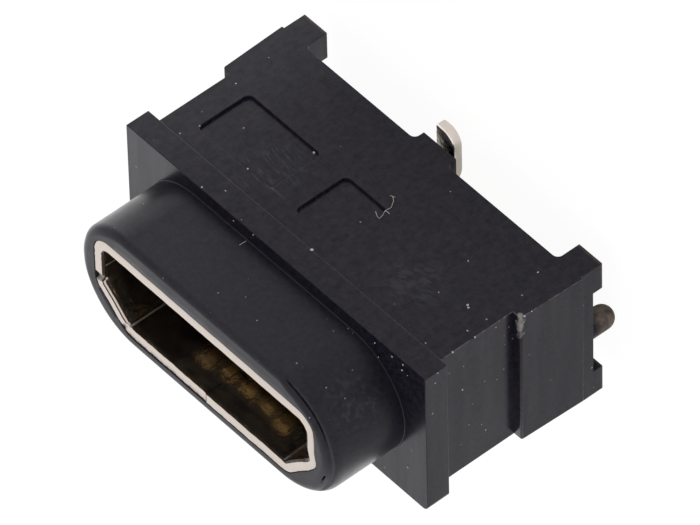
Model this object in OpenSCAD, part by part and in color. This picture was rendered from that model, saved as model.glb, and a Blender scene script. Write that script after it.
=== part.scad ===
// Vertical-mount Micro-B socket for a circuit board, in millimetres.
// The board's surface is z = 0 and the plug comes in along -Z.
// X runs along the mouth, and the mouth's wide side faces +Y.

/* [Flange] */
// Width of the flange, end to end
flange_w = 10.2; // [9.8:0.01:12]
// Height of the flange
flange_h = 4.5; // [4.2:0.01:6]
// Thickness of the flange
flange_t = 0.65; // [0.4:0.01:1.2]
// Radius of the flange's four corners
flange_corner_r = 0.17; // [0.03:0.01:0.25]

/* [Body] */
// Length of the body, from its rear face to the flange
body_len = 3.94; // [3.4:0.01:6]
// Step in from the flange's ends to the body's sides
body_end_step = 0.32; // [0.15:0.01:0.45]
// Step down from the flange's top edge to the body's top face
body_top_step = 0.11; // [0.05:0.01:0.25]
// Step up from the flange's bottom edge to the body's underside
body_bottom_step = 0.26; // [0.1:0.01:0.4]
// Height of the body's rear face above the board
rear_gap = 0.65; // [0.5:0.01:1]
// Thickness of the wall between the rear face and the floor that the shell stands on
rear_wall = 0.35; // [0.3:0.01:0.8]

/* [Side pads] */
// Length of each side pad along the mating axis
pad_len = 1.81; // [1:0.01:2.6]
// Height of the pads' rear edge above the board
pad_gap = 0.62; // [0.4:0.01:0.9]
// Step in from the flange's ends to the pads' front edge, the rails and the standoffs
pad_end_step = 0.065; // [0.02:0.005:0.15]
// How far the pad's rear edge stands out past its front edge
pad_draft = 0.065; // [0.02:0.005:0.15]
// Radius of the pad's upright edges
pad_edge_r = 0.06; // [0.03:0.01:0.1]

/* [Rails, standoffs and pegs] */
// Width of the rail at each end of the rear face
rail_w = 0.77; // [0.7:0.01:1]
// Height of the rails above the board
rail_gap = 0.27; // [0.15:0.01:0.4]
// Length along Y of the standoffs on the shield foot's side
upper_standoff_len = 0.83; // [0.4:0.01:1.2]
// Length along Y of the standoffs on the tails' side
lower_standoff_len = 0.77; // [0.4:0.01:1.2]
// How far these standoffs reach below the body's underside
lower_standoff_drop = 0.1; // [0.02:0.01:0.2]
// Radius of the coves between the rear face and the rails and boss
cove_r = 0.15; // [0.05:0.01:0.25]
// Diameter of the locating pegs
peg_d = 0.61; // [0.4:0.01:0.7]
// Reach of the pegs below the board's surface
peg_reach = 0.61; // [0.4:0.01:1.5]
// Place of the pegs along Y
peg_y = -0.25; // [-0.6:0.01:0.6]

/* [Boss over the shield foot] */
// Width of the boss
boss_w = 1.1; // [0.9:0.01:2]
// Gap between the shield foot and the boss
boss_gap = 0.06; // [0.02:0.01:0.15]

/* [Mould pockets] */
// Depth of the pockets in the top face
pocket_depth = 0.12; // [0.05:0.01:0.3]
// Length of the pockets along the mating axis
pocket_len = 1.4; // [0.6:0.01:2]
// Distance from the flange's back face to the pockets
pocket_setback = 0.61; // [0.3:0.01:1.2]
// Radius of the pockets' corners
pocket_corner_r = 0.15; // [0.05:0.01:0.3]
// Width of the wide pocket
wide_pocket_w = 2.35; // [1.5:0.01:3]
// Centre of the wide pocket along X
wide_pocket_x = -2.8; // [-3:0.01:-2.4]
// Width of the narrow pocket
narrow_pocket_w = 1.3; // [0.8:0.01:1.6]

/* [Shell] */
// Width of the shell over the folded sheet
shell_w = 7.5; // [7.3:0.01:7.9]
// Height of the shell over the folded sheet
shell_h = 2.53; // [2.3:0.01:2.7]
// Thickness of the sheet
shell_t = 0.3; // [0.2:0.01:0.35]
// Place of the shell's middle along Y
shell_y = 0.03; // [-0.1:0.01:0.2]
// Leg of the 45 degree chamfers on the narrow side
shell_chamfer = 1; // [0.7:0.01:1.2]
// Outer radius of the two bends on the wide side
wide_bend_r = 0.55; // [0.45:0.01:0.85]
// Outer radius of the four bends at the chamfers
chamfer_bend_r = 0.5; // [0.35:0.01:0.7]
// Width of the seam between the sheet's two ends, in the narrow side
seam_w = 0.04; // [0.02:0.01:0.1]
// Reach of the dovetail that locks the seam
lock_reach = 0.42; // [0.2:0.01:0.8]
// Length of the dovetail at its root, along the seam
lock_len = 0.77; // [0.4:0.01:1.2]
// How much the dovetail widens to its end, on each side
lock_flare = 0.03; // [0.01:0.01:0.1]
// Radius of the dovetail's corners
lock_corner_r = 0.08; // [0.03:0.01:0.15]
// Distance from the mouth to the dovetail's middle
lock_setback = 1.38; // [0.8:0.01:2]
// Width of the shield foot
foot_w = 0.57; // [0.4:0.01:0.8]
// Reach of the shield foot past the body's top face
foot_reach = 0.43; // [0.1:0.01:0.8]
// Inner radius of the shield foot's bend
foot_bend_r = 0.12; // [0.05:0.01:0.2]
// Radius of the shield foot's two free corners
foot_corner_r = 0.14; // [0.05:0.01:0.18]

/* [Nose sleeve] */
// Wall of the nose at the flange, above and below the shell
nose_wall = 0.485; // [0.4:0.005:0.7]
// Place of the nose's middle along Y
nose_y = 0.12; // [0:0.01:0.2]
// Draft of the nose, in degrees
nose_draft = 3.3; // [0:0.1:5]
// Length of the nose from the flange to the step behind the lip
nose_len = 1.85; // [1:0.01:3]
// Wall of the lip at the step, past the shell's ends
lip_wall = 0.4; // [0.3:0.01:0.5]
// Step in from the nose's ends to the lip
lip_step = 0.09; // [0.03:0.01:0.2]
// Length of the lip
lip_len = 0.28; // [0.2:0.01:0.5]
// Radius of the lip's front edge
lip_edge_r = 0.08; // [0.03:0.01:0.15]
// How far the bead at the sleeve's root stands out
bead_out = 0.03; // [0.02:0.01:0.1]
// Length of the bead at the sleeve's root
bead_len = 0.04; // [0.03:0.01:0.2]

/* [Contact carrier] */
// Length of the block that fills the bottom of the shell
base_len = 1.3; // [0.8:0.01:1.6]
// Width of the tongue
tongue_w = 3.7; // [3.4:0.01:4]
// Thickness of the tongue
tongue_t = 0.6; // [0.45:0.01:0.7]
// Place of the tongue's middle along Y
tongue_y = 0.22; // [0.1:0.01:0.35]
// Distance from the mouth to the tongue's tip
tongue_setback = 0.8; // [0.4:0.01:1.5]
// Chamfer on the tongue's tip
tongue_chamfer = 0.12; // [0.05:0.01:0.2]

/* [Contacts] */
// Spacing of the contacts
contact_spacing = 0.65; // [0.6:0.01:0.7]
// Thickness of the contact strip
contact_t = 0.15; // [0.1:0.01:0.2]
// Width of a contact on the tongue
contact_w = 0.4; // [0.3:0.01:0.5]
// Height of a contact's face above the tongue
contact_proud = 0.02; // [0.01:0.005:0.05]
// Distance from the tongue's tip to the front of the signal contacts
contact_setback = 0.35; // [0.3:0.01:1]
// Extra length of the two power contacts, which mate first
power_lead = 0.15; // [0:0.01:0.2]
// Radius of the contacts' rounded tips
tip_r = 0.1; // [0.03:0.01:0.14]
// Width of a contact's tail
tail_w = 0.25; // [0.2:0.01:0.35]
// Inner radius of the tails' bend
tail_bend_r = 0.12; // [0.05:0.01:0.2]
// Reach of the tails past the body's underside
tail_reach = 0.25; // [0.1:0.01:0.8]

/* [Fits] */
// Gap round the shell, round the carrier and round the shield foot's strip
slide_gap = 0.02; // [0.01:0.005:0.04]
// Gap round the contacts in the carrier and in the rear wall
contact_gap = 0.01; // [0.005:0.005:0.03]

/* [Hidden] */

$fn = 64;
// Overrun of a cut past the face that it opens
cut = 0.5;
// Contacts in the row, from VBUS to ground
contact_count = 5;

// Levels along the mating axis, from the board up
rear_z = rear_gap;
floor_z = rear_z + rear_wall;
flange_back_z = rear_z + body_len;
flange_front_z = flange_back_z + flange_t;
lip_z = flange_front_z + nose_len;
mouth_z = lip_z + lip_len;
pad_rear_z = pad_gap;
pad_front_z = pad_rear_z + pad_len;
base_front_z = floor_z + base_len;
tongue_tip_z = mouth_z - tongue_setback;

// Outer faces of the body
end_x = flange_w / 2 - pad_end_step;
body_x = flange_w / 2 - body_end_step;
body_top = flange_h / 2 - body_top_step;
body_bottom = body_bottom_step - flange_h / 2;
body_y = [body_bottom, body_top];
rail_x = end_x - rail_w;

// Faces of the shell and of the contacts
shell_top = shell_y + shell_h / 2;
shell_bottom = shell_y - shell_h / 2;
contact_face = tongue_y - tongue_t / 2 - contact_proud;
contact_back = contact_face + contact_t;
// Level where a contact narrows to its tail, half way up the carrier's block
shoulder_z = floor_z + base_len / 2;

// Radius of the nose's ends at a height above its root, when it is r there
function drafted(r, height) = r - height * tan(nose_draft);
nose_r = shell_h / 2 + nose_wall;
lip_r = drafted(nose_r, nose_len);
// Half lengths of the straight sides of the lip and of the nose
lip_straight = shell_w / 2 + lip_wall - lip_r;
nose_straight = lip_straight + lip_step;

// The contacts by their place in the row, counted from 0
last_contact = contact_count - 1;
function contact_x(i) = (i - last_contact / 2) * contact_spacing;
function is_power(i) = i == 0 || i == last_contact;

// Box between two limits along each axis
module block(x, y, z)
    translate([x[0], y[0], z[0]])
        cube([x[1] - x[0], y[1] - y[0], z[1] - z[0]]);

// Profile drawn in X and Z, extruded along Y
module along_y(y)
    translate([0, y[1], 0])
        rotate([90, 0, 0])
            linear_extrude(y[1] - y[0]) children();

// Profile drawn in Y and Z, extruded along X
module along_x(x)
    translate([x[0], 0, 0])
        rotate([90, 0, 90])
            linear_extrude(x[1] - x[0]) children();

// The children on both ends of the part
module both_ends() {
    children();
    mirror([1, 0, 0]) children();
}

function unit(v) = v / norm(v);
function to_next(p, i) = unit(p[(i + 1) % len(p)] - p[i]);
function to_last(p, i) = unit(p[(i + len(p) - 1) % len(p)] - p[i]);
function half_angle(p, i) = acos(to_next(p, i) * to_last(p, i)) / 2;
// Centre of the arc that rounds corner i by radius r
function arc_centre(p, i, r) =
    p[i] + unit(to_next(p, i) + to_last(p, i)) * r / sin(half_angle(p, i));
// Points where that arc meets the two sides
function arc_ends(p, i, r) =
    [for (d = [to_last(p, i), to_next(p, i)]) p[i] + d * r / tan(half_angle(p, i))];

// Convex outline with a radius of its own at each corner
module rounded_outline(points, radii) {
    polygon([
        for (i = [0:len(points) - 1])
            each radii[i] > 0 ? arc_ends(points, i, radii[i]) : [points[i]]
    ]);
    for (i = [0:len(points) - 1])
        if (radii[i] > 0)
            translate(arc_centre(points, i, radii[i])) circle(radii[i]);
}

// Strip of sheet that comes down from level top with its outer face at y = 0, bends by inner radius r
// and runs along the board to y = -reach
module bent_strip(t, r, top, reach)
    difference() {
        rounded_outline([[-reach, 0], [t, 0], [t, top], [-reach, top]], [0, r + t, 0, 0]);
        rounded_outline(
            [[-reach - cut, t], [0, t], [0, top + cut], [-reach - cut, top + cut]],
            [0, r, 0, 0]
        );
    }

// Outline of the shell's outer face, grown outward by g: flat wide side, chamfered narrow side
module shell_outline(g) {
    w = shell_w / 2 + g;
    h = shell_h / 2 + g;
    // A 45 degree side moves out by g as well, so its legs change by less
    c = shell_chamfer + g * (2 - sqrt(2));
    wide = wide_bend_r + g;
    low = chamfer_bend_r + g;
    translate([0, shell_y])
        rounded_outline(
            [[w, h], [-w, h], [-w, c - h], [c - w, -h], [w - c, -h], [w, c - h]],
            [wide, wide, low, low, low, low]
        );
}

// Drafted bar along Z with straight sides and full-round ends, of radius r at its root
module round_end_bar(straight, r, z, edge_r) {
    top = drafted(r, z[1] - z[0]);
    along_x([-straight, straight])
        rounded_outline([[-r, z[0]], [r, z[0]], [top, z[1]], [-top, z[1]]], [0, 0, edge_r, edge_r]);
    both_ends()
        translate([straight, 0, 0])
            rotate([0, 0, -90])
                rotate_extrude(angle = 180)
                    rounded_outline([[0, z[0]], [r, z[0]], [top, z[1]], [0, z[1]]], [0, 0, edge_r, 0]);
}

// Dovetail in X and Z, grown by g, that reaches from the sheet's left end into its right end
module lock_outline(g) {
    mid = mouth_z - lock_setback;
    root = lock_len / 2 + g;
    tip = root + lock_flare;
    end = lock_reach + g;
    r = lock_corner_r + g;
    rounded_outline(
        [[-lock_reach, mid - root], [end, mid - tip], [end, mid + tip], [-lock_reach, mid + root]],
        [0, r, r, 0]
    );
}

// Gap between the two ends of the sheet in X and Z: a straight slit that goes round the dovetail
module seam_gap() {
    g = seam_w / 2;
    difference() {
        union() {
            translate([-g, floor_z - cut]) square([seam_w, mouth_z - floor_z + 2 * cut]);
            intersection() {
                lock_outline(g);
                translate([-g, floor_z]) square([lock_reach + 2 * seam_w, mouth_z - floor_z]);
            }
        }
        lock_outline(-g);
    }
}

// Shield foot and its strip seen from the mouth, with the foot's free corners rounded
module foot_outline() {
    w = foot_w / 2;
    end = body_top + foot_reach;
    r = foot_corner_r;
    rounded_outline([[w, shell_y], [w, end], [-w, end], [-w, shell_y]], [0, r, r, 0]);
}

// Front plate with rounded corners
module flange() {
    w = flange_w / 2;
    h = flange_h / 2;
    r = flange_corner_r;
    translate([0, 0, flange_back_z])
        linear_extrude(flange_t)
            rounded_outline([[w, h], [-w, h], [-w, -h], [w, -h]], [r, r, r, r]);
}

// Pad on the body's end, drafted outward to its rear
module side_pad()
    along_y(body_y)
        rounded_outline(
            [
                [rail_x, pad_rear_z], [end_x + pad_draft, pad_rear_z],
                [end_x, pad_front_z], [rail_x, pad_front_z]
            ],
            [0, pad_edge_r / 2, pad_edge_r, 0]
        );

// Fillet in X and Z between the rear face and an upright face at x, on the side toward +X (1) or -X (-1)
module rear_cove(x, side, height) {
    r = min(cove_r, height);
    translate([x, rear_z])
        difference() {
            square(2 * r, center = true);
            translate([side * r, -r]) circle(r);
        }
}

// Rail across the rear of the body's end, coved into the rear face, with a standoff at each end of it
module end_rail() {
    top = max(rear_z, pad_rear_z);
    low = body_bottom - lower_standoff_drop;
    along_y(body_y) {
        translate([rail_x, rail_gap]) square([rail_w, top - rail_gap]);
        rear_cove(rail_x, -1, rear_z - rail_gap);
    }
    block([rail_x, end_x], [body_top - upper_standoff_len, body_top], [0, top]);
    block([rail_x, end_x], [low, low + lower_standoff_len], [0, top]);
}

// Peg with a domed end, in the middle of the rail
module locating_peg()
    translate([rail_x + rail_w / 2, peg_y, peg_d / 2 - peg_reach]) {
        cylinder(d = peg_d, h = peg_reach - peg_d / 2 + rear_z);
        sphere(d = peg_d);
    }

// Boss that stands over the shield foot, coved into the rear face
module rear_boss() {
    y = [shell_top + foot_bend_r + slide_gap, body_top];
    low = shell_t + boss_gap;
    block([-boss_w / 2, boss_w / 2], y, [low, floor_z]);
    both_ends()
        along_y(y) rear_cove(boss_w / 2, 1, rear_z - low);
}

// Shallow pocket in the top face
module mould_pocket(x, w) {
    front = flange_back_z - pocket_setback;
    rear = front - pocket_len;
    r = pocket_corner_r;
    along_y([body_top - pocket_depth, body_top + cut])
        rounded_outline(
            [[x - w / 2, rear], [x + w / 2, rear], [x + w / 2, front], [x - w / 2, front]],
            [r, r, r, r]
        );
}

// Front part of a contact, let into the tongue, grown by g
module contact_blade(i, g) {
    x = contact_x(i);
    rear = shoulder_z - g;
    front = tongue_tip_z - contact_setback + (is_power(i) ? power_lead : 0) + g;
    face = contact_face - g;
    back = contact_back + g;
    along_x([x - contact_w / 2 - g, x + contact_w / 2 + g])
        rounded_outline(
            [[face, rear], [back, rear], [back, front], [face, front]],
            [0, 0, 0, tip_r + g]
        );
}

// Hole for a contact's tail from a level up to the blade
module tail_hole(i, z) {
    x = contact_x(i);
    g = contact_gap;
    block(
        [x - tail_w / 2 - g, x + tail_w / 2 + g],
        [contact_face - g, contact_back + g],
        [z, shoulder_z]
    );
}

// Contact strip: blade on the tongue, tail through the carrier and the rear wall, foot on the board
module contact_strip(i) {
    x = contact_x(i);
    contact_blade(i, 0);
    along_x([x - tail_w / 2, x + tail_w / 2])
        translate([contact_face, 0])
            bent_strip(contact_t, tail_bend_r, base_front_z, contact_face - body_bottom + tail_reach);
}

module housing()
    color("#2c2c31")
        difference() {
            union() {
                flange();
                block([-body_x, body_x], body_y, [rear_z, flange_back_z]);
                both_ends() {
                    side_pad();
                    end_rail();
                    locating_peg();
                }
                rear_boss();
            }
            // Well for the shell, open at the flange
            translate([0, 0, floor_z])
                linear_extrude(flange_front_z - floor_z + cut) shell_outline(slide_gap);
            mould_pocket(wide_pocket_x, wide_pocket_w);
            mould_pocket(0, narrow_pocket_w);
            // Slots in the rear wall for the shield foot and the tails
            block(
                (foot_w / 2 + slide_gap) * [-1, 1],
                [shell_top - shell_t - slide_gap, shell_top + slide_gap],
                [rear_z - cut, floor_z + cut]
            );
            for (i = [0:last_contact])
                tail_hole(i, rear_z - cut);
        }

module nose_sleeve()
    color("#2a292b")
        difference() {
            translate([0, nose_y, 0]) {
                bead_z = flange_front_z + bead_len;
                round_end_bar(nose_straight, nose_r + bead_out, [flange_front_z, bead_z], 0);
                round_end_bar(nose_straight, nose_r, [flange_front_z, lip_z], 0);
                round_end_bar(lip_straight, lip_r, [lip_z, mouth_z], min(lip_edge_r, lip_len));
            }
            translate([0, 0, flange_front_z - cut])
                linear_extrude(mouth_z - flange_front_z + 2 * cut) shell_outline(slide_gap);
        }

module shell()
    color("#d8d2cc") {
        // Folded wall, open along the seam
        difference() {
            translate([0, 0, floor_z])
                linear_extrude(mouth_z - floor_z)
                    difference() {
                        shell_outline(0);
                        shell_outline(-shell_t);
                    }
            along_y([shell_bottom - cut, shell_y]) seam_gap();
        }
        // Strip from the wide side down through the rear wall, bent out into the shield foot
        intersection() {
            along_x([-foot_w / 2, foot_w / 2])
                translate([shell_top, 0])
                    mirror([1, 0])
                        bent_strip(shell_t, foot_bend_r, base_front_z, body_top + foot_reach - shell_top);
            linear_extrude(base_front_z) foot_outline();
        }
    }

module contact_carrier() {
    low = tongue_y - tongue_t / 2;
    high = tongue_y + tongue_t / 2;
    c = tongue_chamfer;
    color("#1d1c1e")
        difference() {
            union() {
                translate([0, 0, floor_z])
                    linear_extrude(base_len) shell_outline(-shell_t - slide_gap);
                along_x([-tongue_w / 2, tongue_w / 2])
                    polygon([
                        [low, base_front_z], [high, base_front_z],
                        [high, tongue_tip_z - c], [high - c, tongue_tip_z],
                        [low + c, tongue_tip_z], [low, tongue_tip_z - c]
                    ]);
            }
            for (i = [0:last_contact]) {
                contact_blade(i, contact_gap);
                tail_hole(i, floor_z - cut);
            }
        }
}

module contact_vbus() color("#b48d3e") contact_strip(0);
module contact_data_minus() color("#b48d3e") contact_strip(1);
module contact_data_plus() color("#b48d3e") contact_strip(2);
module contact_id() color("#b48d3e") contact_strip(3);
module contact_ground() color("#b48d3e") contact_strip(last_contact);

housing();
nose_sleeve();
shell();
contact_carrier();
contact_vbus();
contact_data_minus();
contact_data_plus();
contact_id();
contact_ground();
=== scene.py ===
"""Looks of an upright micro socket for a circuit board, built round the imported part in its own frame.

Meshes are drawn in millimetres and brought to metres when they become pieces.
"""
import math
import random

import bmesh
import bpy
from mathutils import Matrix, Vector, noise


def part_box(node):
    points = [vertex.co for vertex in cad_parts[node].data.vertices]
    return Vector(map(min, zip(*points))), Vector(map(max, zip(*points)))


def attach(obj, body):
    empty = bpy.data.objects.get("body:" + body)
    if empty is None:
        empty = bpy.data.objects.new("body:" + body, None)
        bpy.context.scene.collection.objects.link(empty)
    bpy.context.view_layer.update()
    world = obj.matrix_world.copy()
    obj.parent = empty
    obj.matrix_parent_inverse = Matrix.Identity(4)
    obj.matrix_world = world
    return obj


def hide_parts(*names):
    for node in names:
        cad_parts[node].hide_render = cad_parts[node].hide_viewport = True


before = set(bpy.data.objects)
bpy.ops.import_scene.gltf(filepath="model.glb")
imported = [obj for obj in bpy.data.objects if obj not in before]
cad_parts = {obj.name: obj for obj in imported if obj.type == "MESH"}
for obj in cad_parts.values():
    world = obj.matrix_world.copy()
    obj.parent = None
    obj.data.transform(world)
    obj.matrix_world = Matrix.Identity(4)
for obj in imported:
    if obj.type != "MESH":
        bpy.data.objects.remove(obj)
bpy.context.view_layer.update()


# Housing: one moulding of black glass-filled polymer, with flange, body, side pads, rails,
# standoffs and pegs. The mould's faces were spark eroded, so the skin is satin with a fine
# grain. Its edges keep a small radius, rubbed pale at the end that was handled most, and a
# painted highlight runs pale along the back of the flange's top.
MM = 0.001
mould_edge = 0.016
flange_x = 5.1
flange_y = 2.25
flange_z = 4.5
flange_corner_r = 0.17
flange_corner_share = 0.2
flange_right_in = 0.05
body_top = 2.14
pocket_floor = 2.02
pocket_rear = 2.58
pocket_front = 3.98
# Middle and half width of each pocket along X
pockets = ((-2.8, 1.175), (0, 0.65))
pocket_more = 0.07
pocket_rise = 0.03
knock_at = (5.02, 2.12, 2.42)
knock_size = (0.12, 0.6, 0.12)
knock_ragged = 3
peg_lumps = 30
weld_distance = 0.0002
flat_angle = math.radians(1)
sharp_angle = math.radians(35)
shade_break = math.radians(50)


def solid_in_mm(node):
    """Copy of a node's solid in millimetres, with its flat faces whole again."""
    bm = bmesh.new()
    bm.from_mesh(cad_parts[node].data)
    bm.transform(Matrix.Scale(1 / MM, 4))
    bmesh.ops.remove_doubles(bm, verts=bm.verts, dist=weld_distance)
    bmesh.ops.dissolve_limit(bm, angle_limit=flat_angle, verts=bm.verts, edges=bm.edges)
    return bm


def round_edges(bm, radius):
    """Rounds every sharp outer edge, and marks the new faces in the layer "rubbed"."""
    edge_rub_and_highlight = bm.faces.layers.float.new("edge_rub_and_highlight")
    edges = [e for e in bm.edges if len(e.link_faces) == 2 and e.calc_face_angle_signed() > sharp_angle]
    made = bmesh.ops.bevel(
        bm, geom=edges, offset=radius, offset_type="OFFSET", segments=2,
        profile=0.5, affect="EDGES", clamp_overlap=False,
    )
    for face in made["faces"]:
        face[edge_rub_and_highlight] = 1


def add_piece(name, bm, material):
    """Turns a mesh in millimetres into a smooth shaded piece in metres."""
    bm.transform(Matrix.Scale(MM, 4))
    for face in bm.faces:
        face.smooth = True
    for edge in bm.edges:
        edge.smooth = edge.calc_face_angle(0) < shade_break
    mesh = bpy.data.meshes.new(name)
    bm.to_mesh(mesh)
    bm.free()
    mesh.materials.append(material)
    piece = bpy.data.objects.new(name, mesh)
    bpy.context.scene.collection.objects.link(piece)
    piece.modifiers.new("flat_faces", "WEIGHTED_NORMAL").keep_sharp = True
    return piece


def srgb(code, alpha=1):
    """Linear colour of an sRGB hex code."""
    parts = [int(code[i:i + 2], 16) / 255 for i in (1, 3, 5)]
    return [p / 12.92 if p <= 0.04045 else ((p + 0.055) / 1.055) ** 2.4 for p in parts] + [alpha]


def add_node(tree, kind, inputs, **settings):
    """Adds a node with its settings, and sets or links its inputs."""
    made = tree.nodes.new("ShaderNode" + kind)
    for name, value in settings.items():
        setattr(made, name, value)
    for socket, value in inputs.items():
        if isinstance(value, bpy.types.NodeSocket):
            tree.links.new(value, made.inputs[socket])
        else:
            made.inputs[socket].default_value = value
    return made


def new_material(name):
    """Empty material, its node tree and its object coordinates."""
    material = bpy.data.materials.new(name)
    material.use_nodes = True
    tree = material.node_tree
    tree.nodes.clear()
    return material, tree, add_node(tree, "TexCoord", {}).outputs["Object"]


def pattern_scale(size_mm):
    """Texture scale that gives features of this size on a piece in metres."""
    return 1 / (size_mm * MM)


def dust_specks(tree, coords, spacing_mm, radius_mm, share):
    """Mask of small round specks that lie at random on the surface."""
    cells = add_node(tree, "TexVoronoi", {"Vector": coords, "Scale": pattern_scale(spacing_mm)})
    draw = add_node(tree, "SeparateColor", {"Color": cells.outputs["Color"]})
    radius = add_node(tree, "MapRange", {
        "Value": draw.outputs["Red"], "From Min": 1 - share, "From Max": 1,
        "To Min": 0, "To Max": radius_mm / spacing_mm,
    })
    return add_node(tree, "Math", {
        0: cells.outputs["Distance"], 1: radius.outputs["Result"],
    }, operation="LESS_THAN").outputs["Value"]


def round_patch(tree, coords, centre_mm, radius_mm, core=0.4):
    """Mask round a place on the piece: 1 in the core's share of the radius, fading out at the radius."""
    gap = add_node(tree, "VectorMath", {0: coords, 1: [c * MM for c in centre_mm]}, operation="DISTANCE")
    return add_node(tree, "MapRange", {
        "Value": gap.outputs["Value"], "From Min": radius_mm * MM, "From Max": core * radius_mm * MM,
    }).outputs["Result"]


def mask_along(tree, coords, axis, start_mm, full_mm):
    """Mask that rises from 0 to 1 between two places along an axis of the piece."""
    place = add_node(tree, "SeparateXYZ", {"Vector": coords})
    return add_node(tree, "MapRange", {
        "Value": place.outputs[axis], "From Min": start_mm * MM, "From Max": full_mm * MM,
    }).outputs["Result"]


def hairlines(tree, coords, turn_deg, length_mm, width_mm, least, fade=0.15):
    """Mask of fine scratches that run one way; only noise above the least value shows."""
    lay = add_node(tree, "Mapping", {
        "Vector": coords, "Rotation": (0, math.radians(turn_deg), 0),
        "Scale": (length_mm * MM, width_mm * MM, width_mm * MM),
    }, vector_type="TEXTURE")
    lines = add_node(tree, "TexNoise", {"Vector": lay.outputs["Vector"], "Scale": 1, "Detail": 2})
    return add_node(tree, "MapRange", {
        "Value": lines.outputs["Fac"], "From Min": least, "From Max": least + fade,
    }).outputs["Result"]


def spark_eroded_polymer():
    """Black glass-filled polymer with a spark-eroded skin: satin, finely grained, pale where worn, and with
    a painted highlight along the back of the flange's top.
    """
    material, tree, coords = new_material("spark_eroded_polymer")
    # The real grain is about 0.02 mm, and is drawn coarser so that it shows
    grain = add_node(tree, "TexNoise", {
        "Vector": coords, "Scale": pattern_scale(0.05), "Detail": 3, "Roughness": 0.6,
    })
    cloud = add_node(tree, "TexNoise", {"Vector": coords, "Scale": pattern_scale(1.1), "Detail": 4})
    mottle = add_node(tree, "TexNoise", {
        "Vector": coords, "Scale": pattern_scale(0.13), "Detail": 4, "Roughness": 0.7,
    })
    spots = add_node(tree, "MapRange", {"Value": mottle.outputs["Fac"], "From Min": 0.35, "From Max": 0.65})
    tone = add_node(tree, "Mix", {
        0: spots.outputs["Result"], 6: srgb("#0d0c12"), 7: srgb("#201d28"),
    }, data_type="RGBA")
    # Scuffs on the top: short ones in the wide pocket, a tangle toward the right end, faint ones all over
    in_pocket = hairlines(tree, coords, turn_deg=-8, length_mm=0.35, width_mm=0.06, least=0.54)
    tangle = hairlines(tree, coords, turn_deg=23, length_mm=0.25, width_mm=0.1, least=0.47)
    all_over = hairlines(tree, coords, turn_deg=-3, length_mm=2.2, width_mm=0.03, least=0.6)
    pocket_patch = round_patch(tree, coords, centre_mm=(-2.05, pocket_floor, 3.5), radius_mm=1.1)
    end_patch = round_patch(tree, coords, centre_mm=(2.65, body_top, 3.5), radius_mm=1)
    kinds = ((in_pocket, 1, pocket_patch), (tangle, 0.6, end_patch), (all_over, 0.2, 1))
    scuffs = 0
    for lines, strength, patch in kinds:
        faint = add_node(tree, "Math", {0: lines, 1: strength}, operation="MULTIPLY")
        here = add_node(tree, "Math", {0: faint.outputs["Value"], 1: patch}, operation="MULTIPLY")
        most = add_node(tree, "Math", {0: here.outputs["Value"], 1: scuffs}, operation="MAXIMUM")
        scuffs = most.outputs["Value"]
    # Edges: rubbed pale in patches toward the right end, and a painted highlight in a fine line along
    # the back of the flange's top, both except in front and on the standoffs
    edge_rub_and_highlight = add_node(tree, "Attribute", {}, attribute_name="edge_rub_and_highlight")
    chafe = add_node(tree, "TexNoise", {"Vector": coords, "Scale": pattern_scale(0.18), "Detail": 3})
    patches = add_node(tree, "MapRange", {"Value": chafe.outputs["Fac"], "From Min": 0.3, "From Max": 0.75})
    right_end = add_node(tree, "Math", {
        0: mask_along(tree, coords, "X", 4.4, 4.7), 1: patches.outputs["Result"],
    }, operation="MULTIPLY")
    # Painted highlight: a fine pale line along the back of the flange's top
    flange_highlight = add_node(tree, "Math", {
        0: mask_along(tree, coords, "Y", 2.18, 2.2), 1: 0.4,
    }, operation="MULTIPLY")
    either = add_node(tree, "Math", {
        0: right_end.outputs["Value"], 1: flange_highlight.outputs["Value"],
    }, operation="MAXIMUM")
    behind_front = mask_along(tree, coords, "Z", 4.66, 4.62)
    off_standoffs = mask_along(tree, coords, "Z", 0.58, 0.66)
    rub_and_highlight = edge_rub_and_highlight.outputs["Fac"]
    for mask in (behind_front, off_standoffs, either.outputs["Value"]):
        rub_and_highlight = add_node(tree, "Math", {0: rub_and_highlight, 1: mask}, operation="MULTIPLY").outputs["Value"]
    # A knock has whitened the top of the right pad's front edge, in a ragged wedge that points down
    knock = add_node(tree, "Mapping", {
        "Vector": coords, "Location": [c * MM for c in knock_at], "Scale": [s * MM for s in knock_size],
    }, vector_type="TEXTURE")
    off_knock = add_node(tree, "VectorMath", {0: knock.outputs["Vector"]}, operation="LENGTH")
    ragged = add_node(tree, "Math", {
        0: chafe.outputs["Fac"], 1: knock_ragged, 2: off_knock.outputs["Value"],
    }, operation="MULTIPLY_ADD")
    white = add_node(tree, "MapRange", {
        "Value": ragged.outputs["Value"], "From Min": 2.5, "From Max": 1.9,
    })
    # Pegs: browner and rough, where the moulding broke from its gate
    on_peg = mask_along(tree, coords, "Z", 0.1, -0.1)
    torn = add_node(tree, "Mix", {
        0: patches.outputs["Result"], 6: srgb("#3b342f"), 7: srgb("#786d63"),
    }, data_type="RGBA")
    specks = dust_specks(tree, coords, spacing_mm=0.24, radius_mm=0.026, share=0.16)
    skin = tone.outputs[2]
    # The rub colour also paints the highlight along the back of the flange's top
    for mask, colour in (
        (scuffs, srgb("#302f36")), (rub_and_highlight, srgb("#646167")), (white.outputs["Result"], srgb("#7f7b7a")),
        (on_peg, torn.outputs[2]), (specks, srgb("#7d7a77")),
    ):
        skin = add_node(tree, "Mix", {0: mask, 6: skin, 7: colour}, data_type="RGBA").outputs[2]
    satin = add_node(tree, "MapRange", {
        "Value": cloud.outputs["Fac"], "From Min": 0.3, "From Max": 0.7, "To Min": 0.2, "To Max": 0.28,
    })
    dull = add_node(tree, "Math", {0: rub_and_highlight, 1: on_peg}, operation="MAXIMUM")
    gloss = add_node(tree, "Mix", {
        0: dull.outputs["Value"], 2: satin.outputs["Result"], 3: 0.5,
    }, data_type="FLOAT")
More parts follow.
